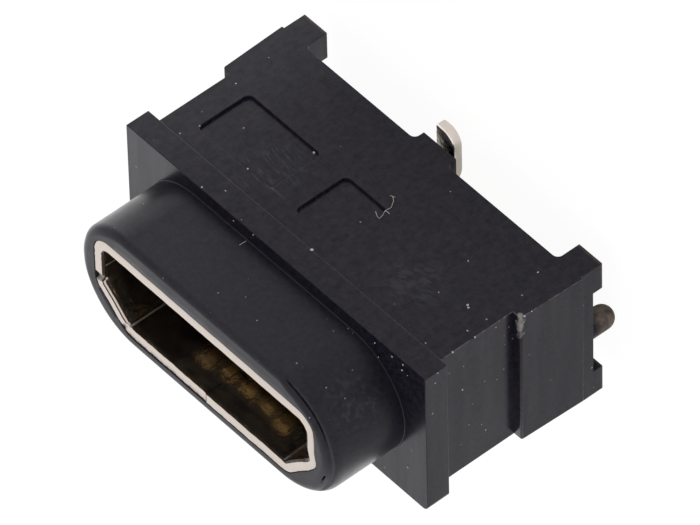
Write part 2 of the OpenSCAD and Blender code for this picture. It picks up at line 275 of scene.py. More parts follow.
    # Streaks that the mould left in the direction of opening
    drawn = add_node(tree, "Mapping", {
        "Vector": coords, "Scale": (0.16 * MM, 2.5 * MM, 0.3 * MM),
    }, vector_type="TEXTURE")
    streaks = add_node(tree, "TexNoise", {"Vector": drawn.outputs["Vector"], "Scale": 1, "Detail": 4})
    shine = add_node(tree, "MapRange", {
        "Value": streaks.outputs["Fac"], "From Min": 0.3, "From Max": 0.7, "To Min": 0.42, "To Max": 0.58,
    })
    # The pegs' torn skin stands far higher than the grain
    lumps = add_node(tree, "Math", {0: on_peg, 1: peg_lumps}, operation="MULTIPLY")
    height = add_node(tree, "Math", {
        0: chafe.outputs["Fac"], 1: lumps.outputs["Value"], 2: grain.outputs["Fac"],
    }, operation="MULTIPLY_ADD")
    relief = add_node(tree, "Bump", {
        "Height": height.outputs["Value"], "Distance": 0.001 * MM, "Strength": 1,
    })
    shader = add_node(tree, "BsdfPrincipled", {
        "Base Color": skin, "Roughness": gloss.outputs[0], "IOR": 1.305,
        "Specular IOR Level": shine.outputs["Result"], "Normal": relief.outputs["Normal"],
    })
    add_node(tree, "OutputMaterial", {"Surface": shader.outputs["BSDF"]})
    return material


housing_mesh = solid_in_mm("housing")
# The flange's two top corners are crisper than the lower ones, and its right end stands a little in
for vert in housing_mesh.verts:
    corner = Vector((math.copysign(flange_x, vert.co.x), flange_y, vert.co.z))
    gap = vert.co - corner
    if vert.co.z > flange_z and max(abs(gap.x), abs(gap.y)) < flange_corner_r + weld_distance:
        vert.co = corner + gap * flange_corner_share
    if vert.co.z > flange_z and vert.co.x > flange_x - flange_corner_r - weld_distance:
        vert.co.x -= flange_right_in
# The two pockets in the top are a little wider and shallower
pocket_mid = (pocket_rear + pocket_front) / 2
pocket_half = (pocket_front - pocket_rear) / 2 + weld_distance
for vert in housing_mesh.verts:
    for mid, half in pockets:
        x = vert.co.x - mid
        z = vert.co.z - pocket_mid
        inside = abs(x) < half + weld_distance and abs(z) < pocket_half
        if inside and pocket_floor - weld_distance < vert.co.y < body_top + weld_distance:
            vert.co.x += x / half * pocket_more
            vert.co.z += z / pocket_half * pocket_more
            if vert.co.y < body_top - weld_distance:
                vert.co.y += pocket_rise
            break
round_edges(housing_mesh, mould_edge)
housing = add_piece("moulded_housing", housing_mesh, spark_eroded_polymer())
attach(housing, "root")
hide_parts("housing")


# Contact carrier: a block of black liquid crystal polymer at the bottom of the shell, with the
# flat tongue that the contacts lie in. It is moulded and pressed into the shell from behind.
carrier_edge = 0.006


def matt_polymer():
    """Unpolished black liquid crystal polymer: matt, with faint flow marks."""
    material, tree, coords = new_material("matt_polymer")
    flow = add_node(tree, "TexNoise", {"Vector": coords, "Scale": pattern_scale(0.2), "Detail": 4})
    tone = add_node(tree, "Mix", {
        0: flow.outputs["Fac"], 6: srgb("#090808"), 7: srgb("#100f0e"),
    }, data_type="RGBA")
    relief = add_node(tree, "Bump", {
        "Height": flow.outputs["Fac"], "Distance": 0.003 * MM, "Strength": 1,
    })
    shader = add_node(tree, "BsdfPrincipled", {
        "Base Color": tone.outputs[2], "Roughness": 0.6, "IOR": 1.3, "Normal": relief.outputs["Normal"],
    })
    add_node(tree, "OutputMaterial", {"Surface": shader.outputs["BSDF"]})
    return material


carrier_mesh = solid_in_mm("contact_carrier")
round_edges(carrier_mesh, carrier_edge)
carrier = add_piece("moulded_carrier", carrier_mesh, matt_polymer())
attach(carrier, "root")
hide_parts("contact_carrier")


# Contacts: five strips stamped from phosphor bronze and gold plated, let into the tongue and bent
# into tails on the board. Their tips are rounded, and the two outer ones are longer, so that
# power mates first.
contact_edge = 0.006
contact_nodes = ("contact_vbus", "contact_data_minus", "contact_data_plus", "contact_id", "contact_ground")


def gold_plate():
    """Gold plate over stamped bronze: satin, with fine rolling lines along the strip."""
    material, tree, coords = new_material("gold_plate")
    # Rolling lines, 20 times as long as wide. Real ones are about 0.01 mm apart, and these are drawn
    # coarser so that they show
    rolled = add_node(tree, "Mapping", {"Vector": coords, "Scale": (1, 1, 0.05)})
    lines = add_node(tree, "TexNoise", {
        "Vector": rolled.outputs["Vector"], "Scale": pattern_scale(0.04), "Detail": 2,
    })
    tone = add_node(tree, "Mix", {
        0: lines.outputs["Fac"], 6: srgb("#ecc06a"), 7: srgb("#ffe3a0"),
    }, data_type="RGBA")
    gloss = add_node(tree, "MapRange", {"Value": lines.outputs["Fac"], "To Min": 0.32, "To Max": 0.46})
    shader = add_node(tree, "BsdfPrincipled", {
        "Base Color": tone.outputs[2], "Metallic": 1, "Roughness": gloss.outputs["Result"],
    })
    add_node(tree, "OutputMaterial", {"Surface": shader.outputs["BSDF"]})
    return material


gold = gold_plate()
for node in contact_nodes:
    strip_mesh = solid_in_mm(node)
    round_edges(strip_mesh, contact_edge)
    strip = add_piece(node + "_strip", strip_mesh, gold)
    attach(strip, "root")
    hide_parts(node)


# Shell: one blank of tin-plated steel sheet folded to the plug's outline, with its two ends locked
# together in the narrow side and a foot bent out of the wide side for the board. The rim at the
# mouth is the sheared edge of the sheet, and left of the seam it was cut a little short.
sheet = 0.3
shell_half_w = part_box("shell")[1].x / MM
shell_mid_y = 0.03
shell_half_h = 1.265
low_y = shell_mid_y - shell_half_h
high_y = shell_mid_y + shell_half_h
shell_chamfer = 1.0
side_y = low_y + shell_chamfer
left_bend_r = 0.48
right_bend_r = 0.57
chamfer_bend_r = 0.5
shell_floor_z = 1.0
mouth_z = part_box("shell")[1].z / MM
path_step = 0.04
least_arc_steps = 6
edge_strips = 3
sheet_waves = 18


def rounded_path(corners, radii, step):
    """Points and right-hand normals along a path, with an arc at each inner corner."""
    corners = [Vector(c) for c in corners]
    stations = []

    def add_straight(start, end):
        along = end - start
        count = max(1, math.ceil(along.length / step))
        normal = Vector((along.y, -along.x)).normalized()
        for i in range(count + 1):
            stations.append((start + along * i / count, normal))

    start = corners[0]
    for before, here, after, r in zip(corners, corners[1:], corners[2:], radii):
        ahead = (here - before).normalized()
        leave = (after - here).normalized()
        turn = math.atan2(ahead.cross(leave), ahead.dot(leave))
        side = math.copysign(1, turn)
        reach = r * math.tan(abs(turn) / 2)
        first = Vector((ahead.y, -ahead.x))
        arc_start = here - ahead * reach
        if (arc_start - start).length > step / 100:
            add_straight(start, arc_start)
        centre = arc_start - first * r * side
        count = max(least_arc_steps, math.ceil(r * abs(turn) / step))
        for i in range(1, count):
            normal = Matrix.Rotation(turn * i / count, 2) @ first
            stations.append((centre + normal * r * side, normal))
        start = here + leave * reach
    add_straight(start, corners[-1])
    return stations


def loft(bm, rings, looped):
    """Faces between closed rings of points; looped joins the last ring to the first."""
    rows = [[bm.verts.new(p) for p in ring] for ring in rings]
    strips = []
    for low, high in zip(rows, rows[1:] + rows[:1] if looped else rows[1:]):
        ahead = zip(low, low[1:] + low[:1], high[1:] + high[:1], high)
        strips.append([bm.faces.new(corners) for corners in ahead])
    return rows, strips


def ease(value, start, end):
    """0 at the start, 1 at the end and smooth between them."""
    t = max(0, min(1, (value - start) / (end - start)))
    return t * t * (3 - 2 * t)


shell_path = rounded_path(
    [
        (0, low_y), (shell_half_w - shell_chamfer, low_y), (shell_half_w, side_y),
        (shell_half_w, high_y), (-shell_half_w, high_y), (-shell_half_w, side_y),
        (shell_chamfer - shell_half_w, low_y), (0, low_y),
    ],
    [chamfer_bend_r, chamfer_bend_r, right_bend_r, left_bend_r, chamfer_bend_r, chamfer_bend_r],
    path_step,
)[:-1]

# The rim: its edges are soft and wander a little, and its inner edge is bevelled at the ends, on the
# chamfers and along the top. The left chamfer is nicked at both ends
rim_edge = 0.025
inner_edge = 0.012
rim_wave = 0.012
wave_length = 0.35
fine_length = wave_length / 3
fine_share = 0.6
fine_slice = 5
rim_fade = 0.4
top_from = high_y - 0.5
top_full = high_y - 0.3
top_tilt = 0.0055
top_bevel = 0.03
end_from = 3.3
end_full = 3.6
right_in = 0.045
right_in_from = -0.1
right_in_full = 0.3
right_bevel = 0.09
right_chamfer_from = 2.6
right_chamfer_full = 2.9
right_chamfer_top = side_y + 0.3
right_chamfer_out = 0.02
right_chamfer_bevel = 0.055
left_out = 0.018
left_bevel = 0.05
left_drop = 0.022
left_chamfer_full = low_y + 0.25
left_chamfer_bevel = 0.09
nick_y = -0.05
nick_half = 0.125
nick_flat_half = 0.0875
nick_depth = 0.08
notch_y = low_y + 0.13
notch_half = 0.05
notch_depth = 0.03


def rim_change(p):
    """Inset, drop and inner bevel of the rim at one place."""
    wave = noise.noise(Vector((p.x, p.y, 0)) / wave_length)
    fine = noise.noise(Vector((p.x, p.y, fine_slice)) / fine_length)
    top = ease(p.y, top_from, top_full)
    end = ease(abs(p.x), end_from, end_full) * (1 - top)
    inset = rim_wave * (wave + fine_share * fine) + top_tilt * p.x * top
    drop = rim_wave * (1 + fine) / 2
    bevel = inner_edge + top_bevel * top
    if p.x > 0:
        chamfer = ease(p.x, right_chamfer_from, right_chamfer_full)
        chamfer *= 1 - ease(p.y, side_y, right_chamfer_top)
        inset += right_in * end * ease(p.y, right_in_from, right_in_full) - right_chamfer_out * chamfer
        bevel += max(right_bevel * end, right_chamfer_bevel * chamfer)
    else:
        inset -= left_out * end
        bevel += left_bevel * end
    if p.x < 0 and p.y < nick_y:
        chamfer = ease(p.y, low_y, left_chamfer_full)
        drop += left_drop * (1 - chamfer)
        drop += notch_depth * (1 - ease(abs(p.y - notch_y), notch_half / 2, notch_half))
        bevel = inner_edge + (left_chamfer_bevel - inner_edge) * chamfer
    if p.x < -end_from:
        drop += nick_depth * (1 - ease(abs(p.y - nick_y), nick_flat_half, nick_half))
    return inset, drop, bevel


rim = [rim_change(p) for p, n in shell_path]


def wall_ring(offset, z):
    """Ring of the wall's outer or inner face, at an offset into the sheet."""
    fade = max(0, 1 - (mouth_z - z) / rim_fade)
    ring = []
    for (p, n), (inset, drop, bevel) in zip(shell_path, rim):
        q = p - n * (offset + inset * fade)
        ring.append(Vector((q.x, q.y, z - drop * fade)))
    return ring


def rim_ring(inner, angle):
    """Ring on the rounded outer or inner edge of the rim."""
    ring = []
    for (p, n), (inset, drop, bevel) in zip(shell_path, rim):
        r = bevel if inner else rim_edge
        into = r * (1 - math.cos(angle))
        q = p - n * ((sheet - into if inner else into) + inset)
        ring.append(Vector((q.x, q.y, mouth_z - drop - r * (1 - math.sin(angle)))))
    return ring


wall_depths = (0.2, 0.25, 0.3, 0.4, 0.55, 0.7, 0.9, 1.2, 1.6, 2, 2.5, 3.2, 4, 5, mouth_z - shell_floor_z)
wall_levels = [mouth_z - depth for depth in wall_depths]
quarter = [math.pi / 2 * i / edge_strips for i in range(edge_strips + 1)]
rings = [wall_ring(0, z) for z in reversed(wall_levels)]
rings += [rim_ring(False, a) for a in quarter]
rings += [rim_ring(True, a) for a in reversed(quarter)]
rings += [wall_ring(sheet, z) for z in wall_levels]
wall_mesh = bmesh.new()
for finish in ("sheared", "rim_shade", "folded"):
    wall_mesh.faces.layers.float.new(finish)
sheared, rim_shade, folded = wall_mesh.faces.layers.float.values()
wall_strips = loft(wall_mesh, rings, looped=True)[1]
# The rim's strips: outer edge and flat are bare sheared steel, and the inner edge has a dark brown
# painted shade, with a pale burr on the left chamfer
nick_shade = 0.5
burr_pale = 0.8
rim_start = len(wall_levels) - 1
inner_start = rim_start + edge_strips + 2
inside_start = inner_start + edge_strips
for strip in wall_strips[rim_start:inner_start]:
    for face in strip:
        face[sheared] = 1
        centre = face.calc_center_median()
        # Painted shade: the nick's faces are drawn half way toward the inner edge's dark brown
        if centre.x < -end_from and abs(centre.y - nick_y) < nick_half:
            face[rim_shade] = nick_shade
for i, strip in enumerate(wall_strips[inner_start:inside_start]):
    for face, (p, n) in zip(strip, shell_path):
        if i == 1 and p.x < 0 and low_y < p.y < nick_y:
            face[sheared] = burr_pale
        else:
            face[rim_shade] = 1
# Inside, a painted highlight runs pale along the two folds of the floor, and a pale line runs along the
# left wall
fold_from = 0.3
fold_to = 0.5
wall_line_x = -3.5
wall_line_y = 0.42
wall_line_half = 0.025
fold_pale = 0.7
for strip in wall_strips[inside_start:-1]:
    for face, (p, n), (q, m) in zip(strip, shell_path, shell_path[1:]):
        fold = p.y < 0 and fold_from < abs((n + m).normalized().x) < fold_to
        wall_line = p.x < wall_line_x and abs(p.y - wall_line_y) < wall_line_half
        face[folded] = fold_pale if fold or wall_line else 0
bmesh.ops.recalc_face_normals(wall_mesh, faces=wall_mesh.faces)

# The seam: a slit between the two ends of the blank that goes round a dovetail, which locks them
seam_half = 0.013
lock_reach = 0.42
lock_half = 0.385
lock_flare = 0.03
lock_corner_r = 0.08
lock_depth = 1.38
lock_mid_z = mouth_z - lock_depth
seam_over = 0.2


def seam_side(shift):
    """One side of the slit in X and Z, shifted from its middle."""
    root = lock_half + shift
    tip = root + lock_flare
    end = lock_reach + shift
    corners = [
        (shift, mouth_z + seam_over), (shift, lock_mid_z + root), (end, lock_mid_z + tip),
        (end, lock_mid_z - tip), (shift, lock_mid_z - root), (shift, shell_floor_z - seam_over),
    ]
    soft = lock_corner_r + shift
    return [p for p, n in rounded_path(corners, [seam_half, soft, soft, seam_half], path_step)]


slit = seam_side(seam_half) + seam_side(-seam_half)[::-1]
slit_mesh = bmesh.new()
slit_depths = (low_y - seam_over, low_y + sheet + seam_over)
slit_rows = loft(slit_mesh, [[Vector((p.x, y, p.y)) for p in slit] for y in slit_depths], looped=False)[0]
for row in slit_rows:
    slit_mesh.faces.new(row)
bmesh.ops.recalc_face_normals(slit_mesh, faces=slit_mesh.faces)


def cut_away(bm, cutter):
    """The first mesh less the second."""
    stock, tool = [bpy.data.objects.new("cut", bpy.data.meshes.new("cut")) for i in range(2)]
    for piece, source in ((stock, bm), (tool, cutter)):
        source.to_mesh(piece.data)
        source.free()
        bpy.context.scene.collection.objects.link(piece)
    cut = stock.modifiers.new("cut", "BOOLEAN")
    cut.object = tool
    cut.operation = "DIFFERENCE"
    cut.solver = "EXACT"
    left = bmesh.new()
    left.from_object(stock, bpy.context.evaluated_depsgraph_get())
    for piece in (stock, tool):
        bpy.data.meshes.remove(piece.data)
    return left


shell_mesh = cut_away(wall_mesh, slit_mesh)

# The foot: a strip of the same sheet that goes down through the housing's rear wall and turns out
# onto the board, with round free corners and edges softened by the plating
foot_left = -0.275
foot_right = 0.345
foot_t = 0.25
foot_end_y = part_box("shell")[1].y / MM
foot_bend_r = 0.12
foot_left_r = 0.1
foot_right_r = 0.43
foot_edge = 0.035
foot_lap = 0.05
foot_turn_steps = 10
foot_path = rounded_path(
    [(high_y - sheet, shell_floor_z + foot_lap), (high_y - sheet, 0), (foot_end_y - foot_right_r, 0)],
    [foot_bend_r + sheet], path_step,
)
for i in range(1, foot_turn_steps + 1):
    short = foot_right_r * (1 - math.sin(math.pi / 2 * i / foot_turn_steps))
    foot_path.append((Vector((foot_end_y - short, 0)), Vector((0, -1))))


def foot_ring(p, n):
    """Section of the foot at one place: a rectangle of the sheet's thickness with round edges."""
    sides = {}
    for sx, edge_x, r in ((1, foot_right, foot_right_r), (-1, foot_left, foot_left_r)):
        past = max(0, p.x - (foot_end_y - r))
        sides[sx] = edge_x - sx * (r - math.sqrt(max(0, r ** 2 - past ** 2)))
    past_edge = max(0, p.x - (foot_end_y - foot_edge))
    thin = foot_edge - math.sqrt(max(0, foot_edge ** 2 - past_edge ** 2))
    ring = []
    for sx, st in ((1, 0), (1, 1), (-1, 1), (-1, 0)):
        for a in quarter:
            near, far = math.cos(a), math.sin(a)
            if sx * (0.5 - st) < 0:
                near, far = far, near
            x = sides[sx] - sx * foot_edge * (1 - far)
            depth = thin + foot_edge * (1 - near)
            q = p - n * (depth if st == 0 else foot_t - depth)
            ring.append(Vector((x, q.x, q.y)))
    return ring


foot_rows, foot_strips = loft(shell_mesh, [foot_ring(p, n) for p, n in foot_path], looped=False)
foot_faces = [face for strip in foot_strips for face in strip]
foot_faces += [shell_mesh.faces.new(row) for row in (foot_rows[0], foot_rows[-1])]
bmesh.ops.recalc_face_normals(shell_mesh, faces=foot_faces)


def tinned_steel():
    """Bright tin plate on rolled sheet: a wavy mirror, painted brown and darker inside as shade, darkest on
    the rim's inner edge, with a painted highlight along the floor's folds and pale rough sheared edges.
    """
    material, tree, coords = new_material("tinned_steel")
    sheared_edge, fold, inner_rim_shade = [
        add_node(tree, "Attribute", {}, attribute_name=finish).outputs["Fac"]
        for finish in ("sheared", "folded", "rim_shade")
    ]
    # Rolling lines, 12 times as long as wide. Real ones are about 0.01 mm apart, and these are drawn
    # coarser so that they show
    rolled = add_node(tree, "Mapping", {"Vector": coords, "Scale": (1, 1, 0.08)})
    lines = add_node(tree, "TexNoise", {
        "Vector": rolled.outputs["Vector"], "Scale": pattern_scale(0.05), "Detail": 3,
    })
    stain = add_node(tree, "TexNoise", {"Vector": coords, "Scale": pattern_scale(0.35), "Detail": 4})
    bright = add_node(tree, "Mix", {
        0: stain.outputs["Fac"], 6: srgb("#e4dacf"), 7: srgb("#fff6ec"),
    }, data_type="RGBA")
    shaded_plate = add_node(tree, "Mix", {
        0: stain.outputs["Fac"], 6: srgb("#8f8274"), 7: srgb("#bfb3a4"),
    }, data_type="RGBA")
    # Painted shade: the plate is drawn brown and darker inside, but left bright in a band of the floor,
    # right of the seam and beside it
    bright_band = mask_along(tree, coords, "Z", 6.38, 6.54)
    ahead_of_band = mask_along(tree, coords, "Z", 6.94, 6.78)
    rightward = mask_along(tree, coords, "X", -1.6, -0.8)
    on_floor = mask_along(tree, coords, "Y", -0.6, -0.8)
    for mask in (ahead_of_band, rightward, on_floor):
        bright_band = add_node(tree, "Math", {0: bright_band, 1: mask}, operation="MULTIPLY").outputs["Value"]
    on_foot = mask_along(tree, coords, "Z", 2, 1.5)
    unshaded = add_node(tree, "Math", {0: bright_band, 1: on_foot}, operation="MAXIMUM")
    # Pale: the sheared edges' own colour, plus a painted highlight along the floor's two folds and a pale
    # line along the left wall
    pale = add_node(tree, "Math", {0: sheared_edge, 1: fold}, operation="MAXIMUM")
    skin = shaded_plate.outputs[2]
    # The rim's inner edge and the nick get their dark brown painted shade here
    for mask, colour in (
        (unshaded.outputs["Value"], bright.outputs[2]), (pale.outputs["Value"], srgb("#d2cac0")),
        (inner_rim_shade, srgb("#362c25")),
    ):
        skin = add_node(tree, "Mix", {0: mask, 6: skin, 7: colour}, data_type="RGBA").outputs[2]
    inner_gloss = add_node(tree, "MapRange", {
        "Value": stain.outputs["Fac"], "To Min": 0.17, "To Max": 0.27,
    })
    plate_gloss = add_node(tree, "Mix", {
        0: on_foot, 2: inner_gloss.outputs["Result"], 3: 0.18,
    }, data_type="FLOAT")
    gloss = add_node(tree, "Mix", {
        0: pale.outputs["Value"], 2: plate_gloss.outputs[0], 3: 0.5,
    }, data_type="FLOAT")
    # The sheet's shallow waves stand far higher than its rolling lines
    dents = add_node(tree, "TexNoise", {"Vector": coords, "Scale": pattern_scale(0.2), "Detail": 2})
    height = add_node(tree, "Math", {
        0: dents.outputs["Fac"], 1: sheet_waves, 2: lines.outputs["Fac"],
    }, operation="MULTIPLY_ADD")
    relief = add_node(tree, "Bump", {
        "Height": height.outputs["Value"], "Distance": 0.0008 * MM, "Strength": 1,
    })
    shader = add_node(tree, "BsdfPrincipled", {
        "Base Color": skin, "Metallic": 1, "Roughness": gloss.outputs[0],
        "Normal": relief.outputs["Normal"],
    })
    add_node(tree, "OutputMaterial", {"Surface": shader.outputs["BSDF"]})
    return material


shell = add_piece("folded_shell", shell_mesh, tinned_steel())
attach(shell, "root")
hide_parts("shell")


# Nose sleeve: an oval collar of black rubber round the shell, seated on the flange. A fine bead runs
# round its root, its front edge is broadly rounded, and at the right end a small ledge steps in
# to the lip round the mouth.
nose_mid_y = 0.12
nose_r = 1.75
nose_straight = 2.597
nose_root_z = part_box("nose_sleeve")[0].z / MM
front_edge_r = 0.17
end_edge_more = 0.15
low_edge_more = 0.12
least_face = 0.06
# The upper left shoulder stands out, by this much half way round it
left_swell = 0.05
bead_out = 0.022
bead_len = 0.045
mouth_gap = 0.012
hole_edge = 0.012
straight_count = 60
round_count = 72
bead_rings = 5
side_rings = 24
edge_rings = 54
face_shares = (0.5, 0.96)
# The ledge: how far it steps in and at which levels, and where it starts and is full along the
# outward normal's X and Y. Above the middle it has a groove
lip_step = 0.09
step_start = 7.235
step_end = 7.25
step_right = (0, 0.18)
step_low = (-0.85, -0.4)
groove_end = 7.28
groove_more = 0.35
groove_high = (0.1, 0.7)
# A small cut along the front edge of the lip, low on the right end: its place round the nose and
# round the edge
cut_angle = math.radians(-22)
cut_half = math.radians(7)
cut_edge_angle = math.radians(62)
cut_edge_half = math.radians(5)
cut_depth = 0.07

# Where each point of a ring stands: its share of the straight sides, and its outward normal
nose_stations = []
for i in range(straight_count):
    nose_stations.append((1 - 2 * i / straight_count, Vector((0, 1))))
for i in range(round_count):
    a = math.pi / 2 + math.pi * i / round_count
    nose_stations.append((-1, Vector((math.cos(a), math.sin(a)))))
nose_stations += [(-share, -n) for share, n in nose_stations]

# The hole for the shell, a little wider than its rim
nose_hole = [q + m * (mouth_gap - inset) for (q, m), (inset, drop, bevel) in zip(shell_path, rim)]
parallel = 1e-9


def mouth_point(p, n):
    """Where the line inward from a point on the lip meets the hole for the shell."""
    best = None
    for a, b in zip(nose_hole, nose_hole[1:] + nose_hole[:1]):
        side = b - a
        cross = -n.x * side.y + n.y * side.x
        if abs(cross) < parallel:
            continue
        gap = a - p
        t = (gap.x * side.y - gap.y * side.x) / cross
        u = (gap.x * -n.y + gap.y * n.x) / cross
        if 0 <= u <= 1 and t > 0 and (best is None or t < best[0]):
            best = (t, a + side * u)
    return best[1]


def lip_inset(n, z):
    """How far the right end steps in at a level: onto the lip, past a fine groove under it."""
    groove = groove_more * ease(n.y, *groove_high) * (1 - ease(z, step_end, groove_end))
    at_right = ease(n.x, *step_right) * ease(n.y, *step_low)
    return lip_step * at_right * ease(z, step_start, step_end) * (1 + groove)


# The front edge's radius at each place: broader at the ends, but it leaves some flat round the mouth
edge_limits = []
for share, n in nose_stations:
    outer = Vector((share * nose_straight, nose_mid_y)) + n * (nose_r - lip_inset(n, mouth_z))
    wall = (outer - mouth_point(outer, n)).length
    broad = front_edge_r + end_edge_more * abs(n.x) + low_edge_more * max(0, -n.y)
    edge_limits.append(min(broad, wall - least_face))
spread = 5
count = len(edge_limits)
nose_edges = [
    sum(edge_limits[(i + k) % count] for k in range(-spread, spread + 1)) / (2 * spread + 1)
    for i in range(count)
]


def nose_ring(level, angle=0, grow=0):
    """One ring of the nose: the level goes from its root to the front edge, the angle round that edge."""
    ring = []
    for (share, n), edge in zip(nose_stations, nose_edges):
        z = nose_root_z + level * (mouth_z - edge - nose_root_z) + edge * math.sin(angle)
        swell = 2 * left_swell * max(0, -n.x) * max(0, n.y)
        r = nose_r + grow + swell - edge * (1 - math.cos(angle)) - lip_inset(n, z)
        cut = cut_depth * (1 - ease(abs(math.atan2(n.y, n.x) - cut_angle), cut_half / 2, cut_half))
        cut *= 1 - ease(abs(angle - cut_edge_angle), 0, cut_edge_half)
        r -= cut * math.cos(angle)
        z -= cut * math.sin(angle)
        ring.append(Vector((share * nose_straight + n.x * r, nose_mid_y + n.y * r, z)))
    return ring


front_edge = nose_ring(1, math.pi / 2)
hole_ring = [mouth_point(Vector(q[:2]), n) for q, (share, n) in zip(front_edge, nose_stations)]
bead = bead_len / (mouth_z - nose_root_z)
arc = [math.pi / 2 * i / bead_rings for i in range(bead_rings + 1)]
nose_rings = [nose_ring(0, grow=bead_out)]
nose_rings += [nose_ring(bead * (1 + math.sin(a)) / 2, grow=bead_out * math.cos(a)) for a in arc]
nose_rings += [nose_ring(bead + (1 - bead) * i / side_rings) for i in range(1, side_rings + 1)]
nose_rings += [nose_ring(1, math.pi / 2 * i / edge_rings) for i in range(1, edge_rings + 1)]
for share in face_shares:
    nose_rings.append([q.lerp(Vector((h.x, h.y, mouth_z)), share) for q, h in zip(front_edge, hole_ring)])
nose_rings += [[Vector((h.x, h.y, z)) for h in hole_ring] for z in (mouth_z - hole_edge, nose_root_z)]
nose_mesh = bmesh.new()
loft(nose_mesh, nose_rings, looped=True)
bmesh.ops.recalc_face_normals(nose_mesh, faces=nose_mesh.faces)


def moulded_rubber():
    """Black moulded rubber: duller than the housing, with a bloom that holds dust."""
    material, tree, coords = new_material("moulded_rubber")
    bloom = add_node(tree, "TexNoise", {"Vector": coords, "Scale": pattern_scale(0.9), "Detail": 4})
    # The real grain is finer, about 0.02 mm, and is drawn coarser so that it shows
    grain = add_node(tree, "TexNoise", {"Vector": coords, "Scale": pattern_scale(0.06), "Detail": 3})
    mottle = add_node(tree, "TexNoise", {
        "Vector": coords, "Scale": pattern_scale(0.12), "Detail": 4, "Roughness": 0.7,
    })
    patchy = add_node(tree, "MapRange", {
        "Value": mottle.outputs["Fac"], "From Min": 0.35, "From Max": 0.65,
    })
    tone = add_node(tree, "Mix", {
        0: patchy.outputs["Result"], 6: srgb("#0d0c12"), 7: srgb("#1c1a25"),
    }, data_type="RGBA")
    # Dust rubbed into the right end, under its upper shoulder
    film = add_node(tree, "TexNoise", {"Vector": coords, "Scale": pattern_scale(0.14), "Detail": 3})
    spots = add_node(tree, "MapRange", {"Value": film.outputs["Fac"], "From Min": 0.5, "From Max": 0.7})
    rubbed_in = add_node(tree, "Math", {
        0: spots.outputs["Result"],
        1: round_patch(tree, coords, centre_mm=(3.8, 1.2, 6.3), radius_mm=0.9),
    }, operation="MULTIPLY")
    specks = dust_specks(tree, coords, spacing_mm=0.17, radius_mm=0.02, share=0.3)
    skin = tone.outputs[2]
    for mask, colour in ((rubbed_in.outputs["Value"], srgb("#2e2d33")), (specks, srgb("#85827f"))):
        skin = add_node(tree, "Mix", {0: mask, 6: skin, 7: colour}, data_type="RGBA").outputs[2]
    gloss = add_node(tree, "MapRange", {
        "Value": bloom.outputs["Fac"], "From Min": 0.3, "From Max": 0.7, "To Min": 0.32, "To Max": 0.44,
    })
    relief = add_node(tree, "Bump", {
        "Height": grain.outputs["Fac"], "Distance": 0.0015 * MM, "Strength": 1,
    })
    shader = add_node(tree, "BsdfPrincipled", {
        "Base Color": skin, "Roughness": gloss.outputs["Result"],
        "IOR": 1.33, "Normal": relief.outputs["Normal"],
    })
    add_node(tree, "OutputMaterial", {"Surface": shader.outputs["BSDF"]})
    return material


nose = add_piece("moulded_nose", nose_mesh, moulded_rubber())
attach(nose, "root")
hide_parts("nose_sleeve")


# Dust and lint: a few flecks on the top, on the flange and along the right end's edges, a forked
# thread of lint by the narrow pocket and a short one at the root of the nose.
flange_front = 5.24
# Place and size of each fleck
flecks = (
    (-2.34, body_top, 4.02, 0.035), (-1.72, body_top, 2.6, 0.04), (-4.04, body_top, 3.98, 0.03),
    (-3.39, 2.05, 3.24, 0.03), (-4.47, body_top, 2.54, 0.025), (-4.16, body_top, 4.46, 0.03),
    (0.51, flange_y, 4.6, 0.045), (-2.1, flange_y, 4.88, 0.025), (-2.53, flange_y, 5.2, 0.03),
    (3.97, body_top, 3.04, 0.035), (4.04, body_top, 3.08, 0.03), (4.53, body_top, 3.54, 0.025),
    (3.26, body_top, 3.27, 0.025), (3.0, body_top, 2.17, 0.025), (4.29, body_top, 1.25, 0.03),
    (4.19, body_top, 4.47, 0.025), (4.78, body_top, 3.54, 0.035), (4.78, body_top, 4.2, 0.03),
    (4.78, 2.0, 2.93, 0.025), (5.05, body_top, 2.32, 0.035), (5.05, body_top, 2.11, 0.03),
    (3.37, 2.05, flange_front, 0.03), (3.48, 1.66, flange_front, 0.025), (3.95, 2.08, flange_front, 0.03),
    (4.31, 2.12, flange_front, 0.03), (4.28, 1.91, flange_front, 0.025), (4.46, 1.88, flange_front, 0.025),
    (4.4, -1.27, flange_front, 0.03), (-0.73, 2.2, flange_front, 0.03), (-1.41, 2.1, flange_front, 0.025),
    (5.05, 1.91, 4.95, 0.03), (5.05, 2.2, 4.88, 0.03), (4.78, 0.68, 3.94, 0.03),
    (4.78, -1.21, 3.27, 0.025), (5.05, -0.57, 1.58, 0.03),
)
# Points along each thread
fibres = (
    ((0.39, 2.15, 2.19), (0.45, 2.155, 2.16), (0.51, 2.15, 2.14)),
    ((0.45, 2.155, 2.16), (0.58, 2.17, 2.25), (0.68, 2.16, 2.41), (0.66, 2.155, 2.58), (0.73, 2.165, 2.7),
     (0.75, 2.16, 2.82), (0.67, 2.155, 2.81), (0.53, 2.15, 2.74)),
    ((0.66, 2.155, 2.58), (0.73, 2.17, 2.56), (0.8, 2.15, 2.56)),
    ((-0.93, 1.872, 5.49), (-0.925, 1.878, 5.4), (-0.92, 1.875, 5.3)),
)
fleck_lumps = (0.75, 1.25)
fleck_widths = (0.5, 0.9)
fibre_r = 0.0065
fibre_sides = 6
random.seed(4)
dust_mesh = bmesh.new()


def add_fleck(place, sizes):
    """Lumpy grain half sunk in the surface that it lies on."""
    made = bmesh.ops.create_icosphere(dust_mesh, subdivisions=2, radius=1)
    for vert in made["verts"]:
        lump = random.uniform(*fleck_lumps)
        vert.co = Vector([c + v * s * lump for c, v, s in zip(place, vert.co, sizes)])


